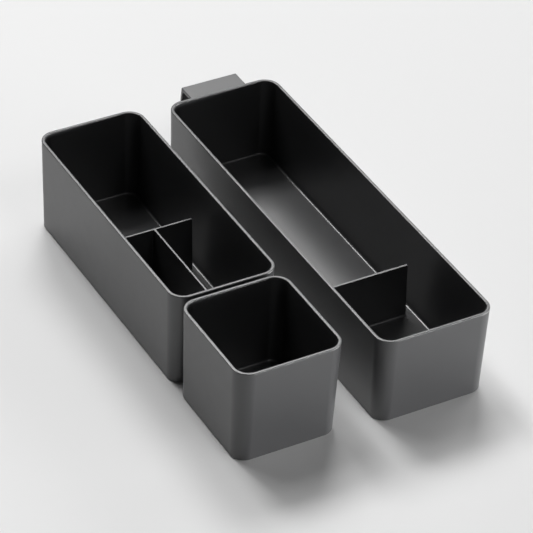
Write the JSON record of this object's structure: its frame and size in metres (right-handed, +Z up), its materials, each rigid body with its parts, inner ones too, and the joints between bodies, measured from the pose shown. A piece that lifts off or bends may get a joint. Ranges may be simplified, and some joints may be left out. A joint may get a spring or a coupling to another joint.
{
  "type": "drawer storage bin set",
  "caption": "Open moulded storage bins for a drawer or shelf: a long bin with a panel hook and sliding divider, a medium bin with a lift-out tee divider, and a cube bin",
  "frame": {"origin": "on the standing surface, under the middle of the whole set's bounding box", "axes": "+X from the row of the medium and cube bins to the long bin, +Y along the bins towards the long bin's hook, +Z up"},
  "size_m": [0.2398, 0.4068, 0.093],
  "materials": {
    "bin_plastic": "black moulded plastic with a fine satin grain",
    "divider_plastic": "black moulded plastic with a fine satin grain"
  },
  "bodies": {
    "long_bin": {"long_bin": "bin_plastic"},
    "long_divider": {"long_divider": "divider_plastic"},
    "medium_bin": {"medium_bin": "bin_plastic"},
    "tee_divider": {"tee_divider": "divider_plastic"},
    "cube_bin": {"cube_bin": "bin_plastic"}
  },
  "joints": [
    {"name": "long_divider_slide", "type": "slide", "parent": "long_bin", "child": "long_divider", "axis": [0, 1, 0], "range_m": [-0.045, 0.263]},
    {"name": "medium_bin_lift", "type": "slide", "parent": "long_bin", "child": "medium_bin", "axis": [0, 0, 1], "range_m": [0, 0.1]},
    {"name": "tee_divider_lift", "type": "slide", "parent": "medium_bin", "child": "tee_divider", "axis": [0, 0, 1], "range_m": [0, 0.095]},
    {"name": "cube_bin_lift", "type": "slide", "parent": "long_bin", "child": "cube_bin", "axis": [0, 0, 1], "range_m": [0, 0.1]}
  ]
}
